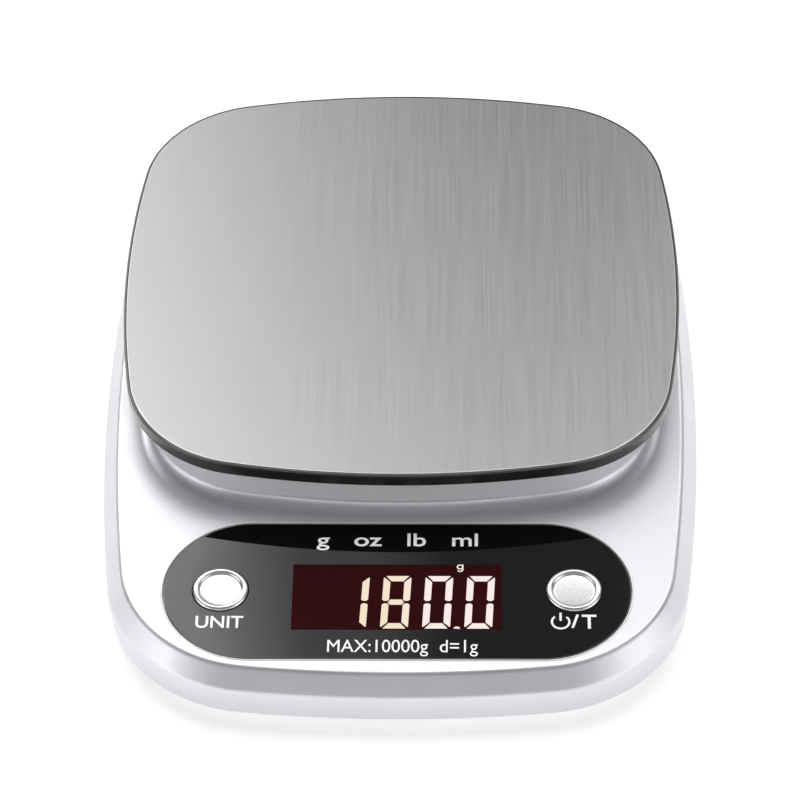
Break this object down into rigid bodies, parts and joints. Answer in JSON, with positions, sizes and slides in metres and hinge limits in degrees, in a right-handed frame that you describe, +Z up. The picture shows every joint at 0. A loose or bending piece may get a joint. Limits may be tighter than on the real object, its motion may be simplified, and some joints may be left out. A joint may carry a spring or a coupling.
{
  "type": "digital kitchen scale",
  "caption": "Flat bench scale: silver body with a tilted deck, stainless platter in a black tray on a load cell, oval black control panel with lit display and plated push buttons",
  "frame": {"origin": "On the table, under the middle of the body's bounding box", "axes": "+X to the user's right, +Y from the control panel to the back, +Z up"},
  "size_m": [0.175, 0.2346, 0.0346],
  "materials": {
    "silver_paint": "satin silver paint on moulded plastic",
    "base_plastic": "fine textured light grey plastic",
    "foot_rubber": "matt rubber",
    "stainless": "stainless steel brushed front to back",
    "tray_black": "satin black plastic",
    "pressed_steel": "zinc plated pressed steel",
    "screw_steel": "zinc plated steel",
    "cell_aluminium": "milled and clear anodised",
    "gauge_resin": "white silicone coating",
    "wire_white": "white sheath",
    "wire_red": "red insulation",
    "wire_black": "black insulation",
    "panel_gloss": "black gloss acrylic sheet",
    "window_red": "dark red display filter, gloss",
    "display_case": "dark grey display case",
    "segment_light": "lit display segments",
    "print_white": "printed legends",
    "board_green": "green solder mask",
    "chip_resin": "black epoxy drop",
    "socket_white": "off-white nylon",
    "switch_black": "black switch body",
    "stem_ivory": "ivory acetal",
    "button_plate": "satin chrome plating",
    "battery_wrap": "plain printed sleeve",
    "contact_nickel": "nickel plated spring steel"
  },
  "bodies": {
    "housing": {"top_shell": "silver_paint", "base_shell": "base_plastic", "foot_front_left": "foot_rubber", "foot_front_right": "foot_rubber", "foot_rear_left": "foot_rubber", "foot_rear_right": "foot_rubber", "load_cell": "cell_aluminium", "gauge_coating": "gauge_resin", "lower_spacer": "cell_aluminium", "lower_cell_screws": "screw_steel", "sensor_lead": "wire_white", "control_panel": "panel_gloss", "display_window": "window_red", "display_module": "display_case", "circuit_board": "board_green", "controller_chip": "chip_resin", "sensor_socket": "socket_white", "unit_switch": "switch_black", "power_switch": "switch_black", "battery_front": "battery_wrap", "battery_rear": "battery_wrap", "contact_bridge": "contact_nickel", "contact_positive": "contact_nickel", "contact_negative": "contact_nickel", "battery_lead_red": "wire_red", "battery_lead_black": "wire_black", "housing_screws": "screw_steel", "board_screws": "screw_steel"},
    "platter": {"platter_plate": "stainless", "platter_tray": "tray_black", "platter_bracket": "pressed_steel", "bracket_screws": "screw_steel", "upper_spacer": "cell_aluminium", "upper_cell_screws": "screw_steel"},
    "unit_button": {"unit_button": "button_plate", "unit_switch_stem": "stem_ivory"},
    "power_button": {"power_button": "button_plate", "power_switch_stem": "stem_ivory"},
    "battery_door": {"battery_door": "base_plastic"}
  },
  "joints": [
    {"name": "platter_sink", "type": "slide", "parent": "housing", "child": "platter", "axis": [0, 0, -1], "range_m": [0, 0.0005], "stiffness_N_per_m": 60000, "springref_m": -0.0001, "deforming": ["load_cell"]},
    {"name": "unit_press", "type": "slide", "parent": "housing", "child": "unit_button", "axis": [0, 0.0175, -0.9998], "range_m": [0, 0.0005], "stiffness_N_per_m": 800, "springref_m": -0.001},
    {"name": "power_press", "type": "slide", "parent": "housing", "child": "power_button", "axis": [0, 0.0175, -0.9998], "range_m": [0, 0.0005], "stiffness_N_per_m": 800, "springref_m": -0.001},
    {"name": "battery_door_hinge", "type": "hinge", "parent": "housing", "child": "battery_door", "pos_m": [-0.0522, 0.028, 0.0041], "axis": [1, 0, 0], "range_deg": [0, 85]}
  ]
}
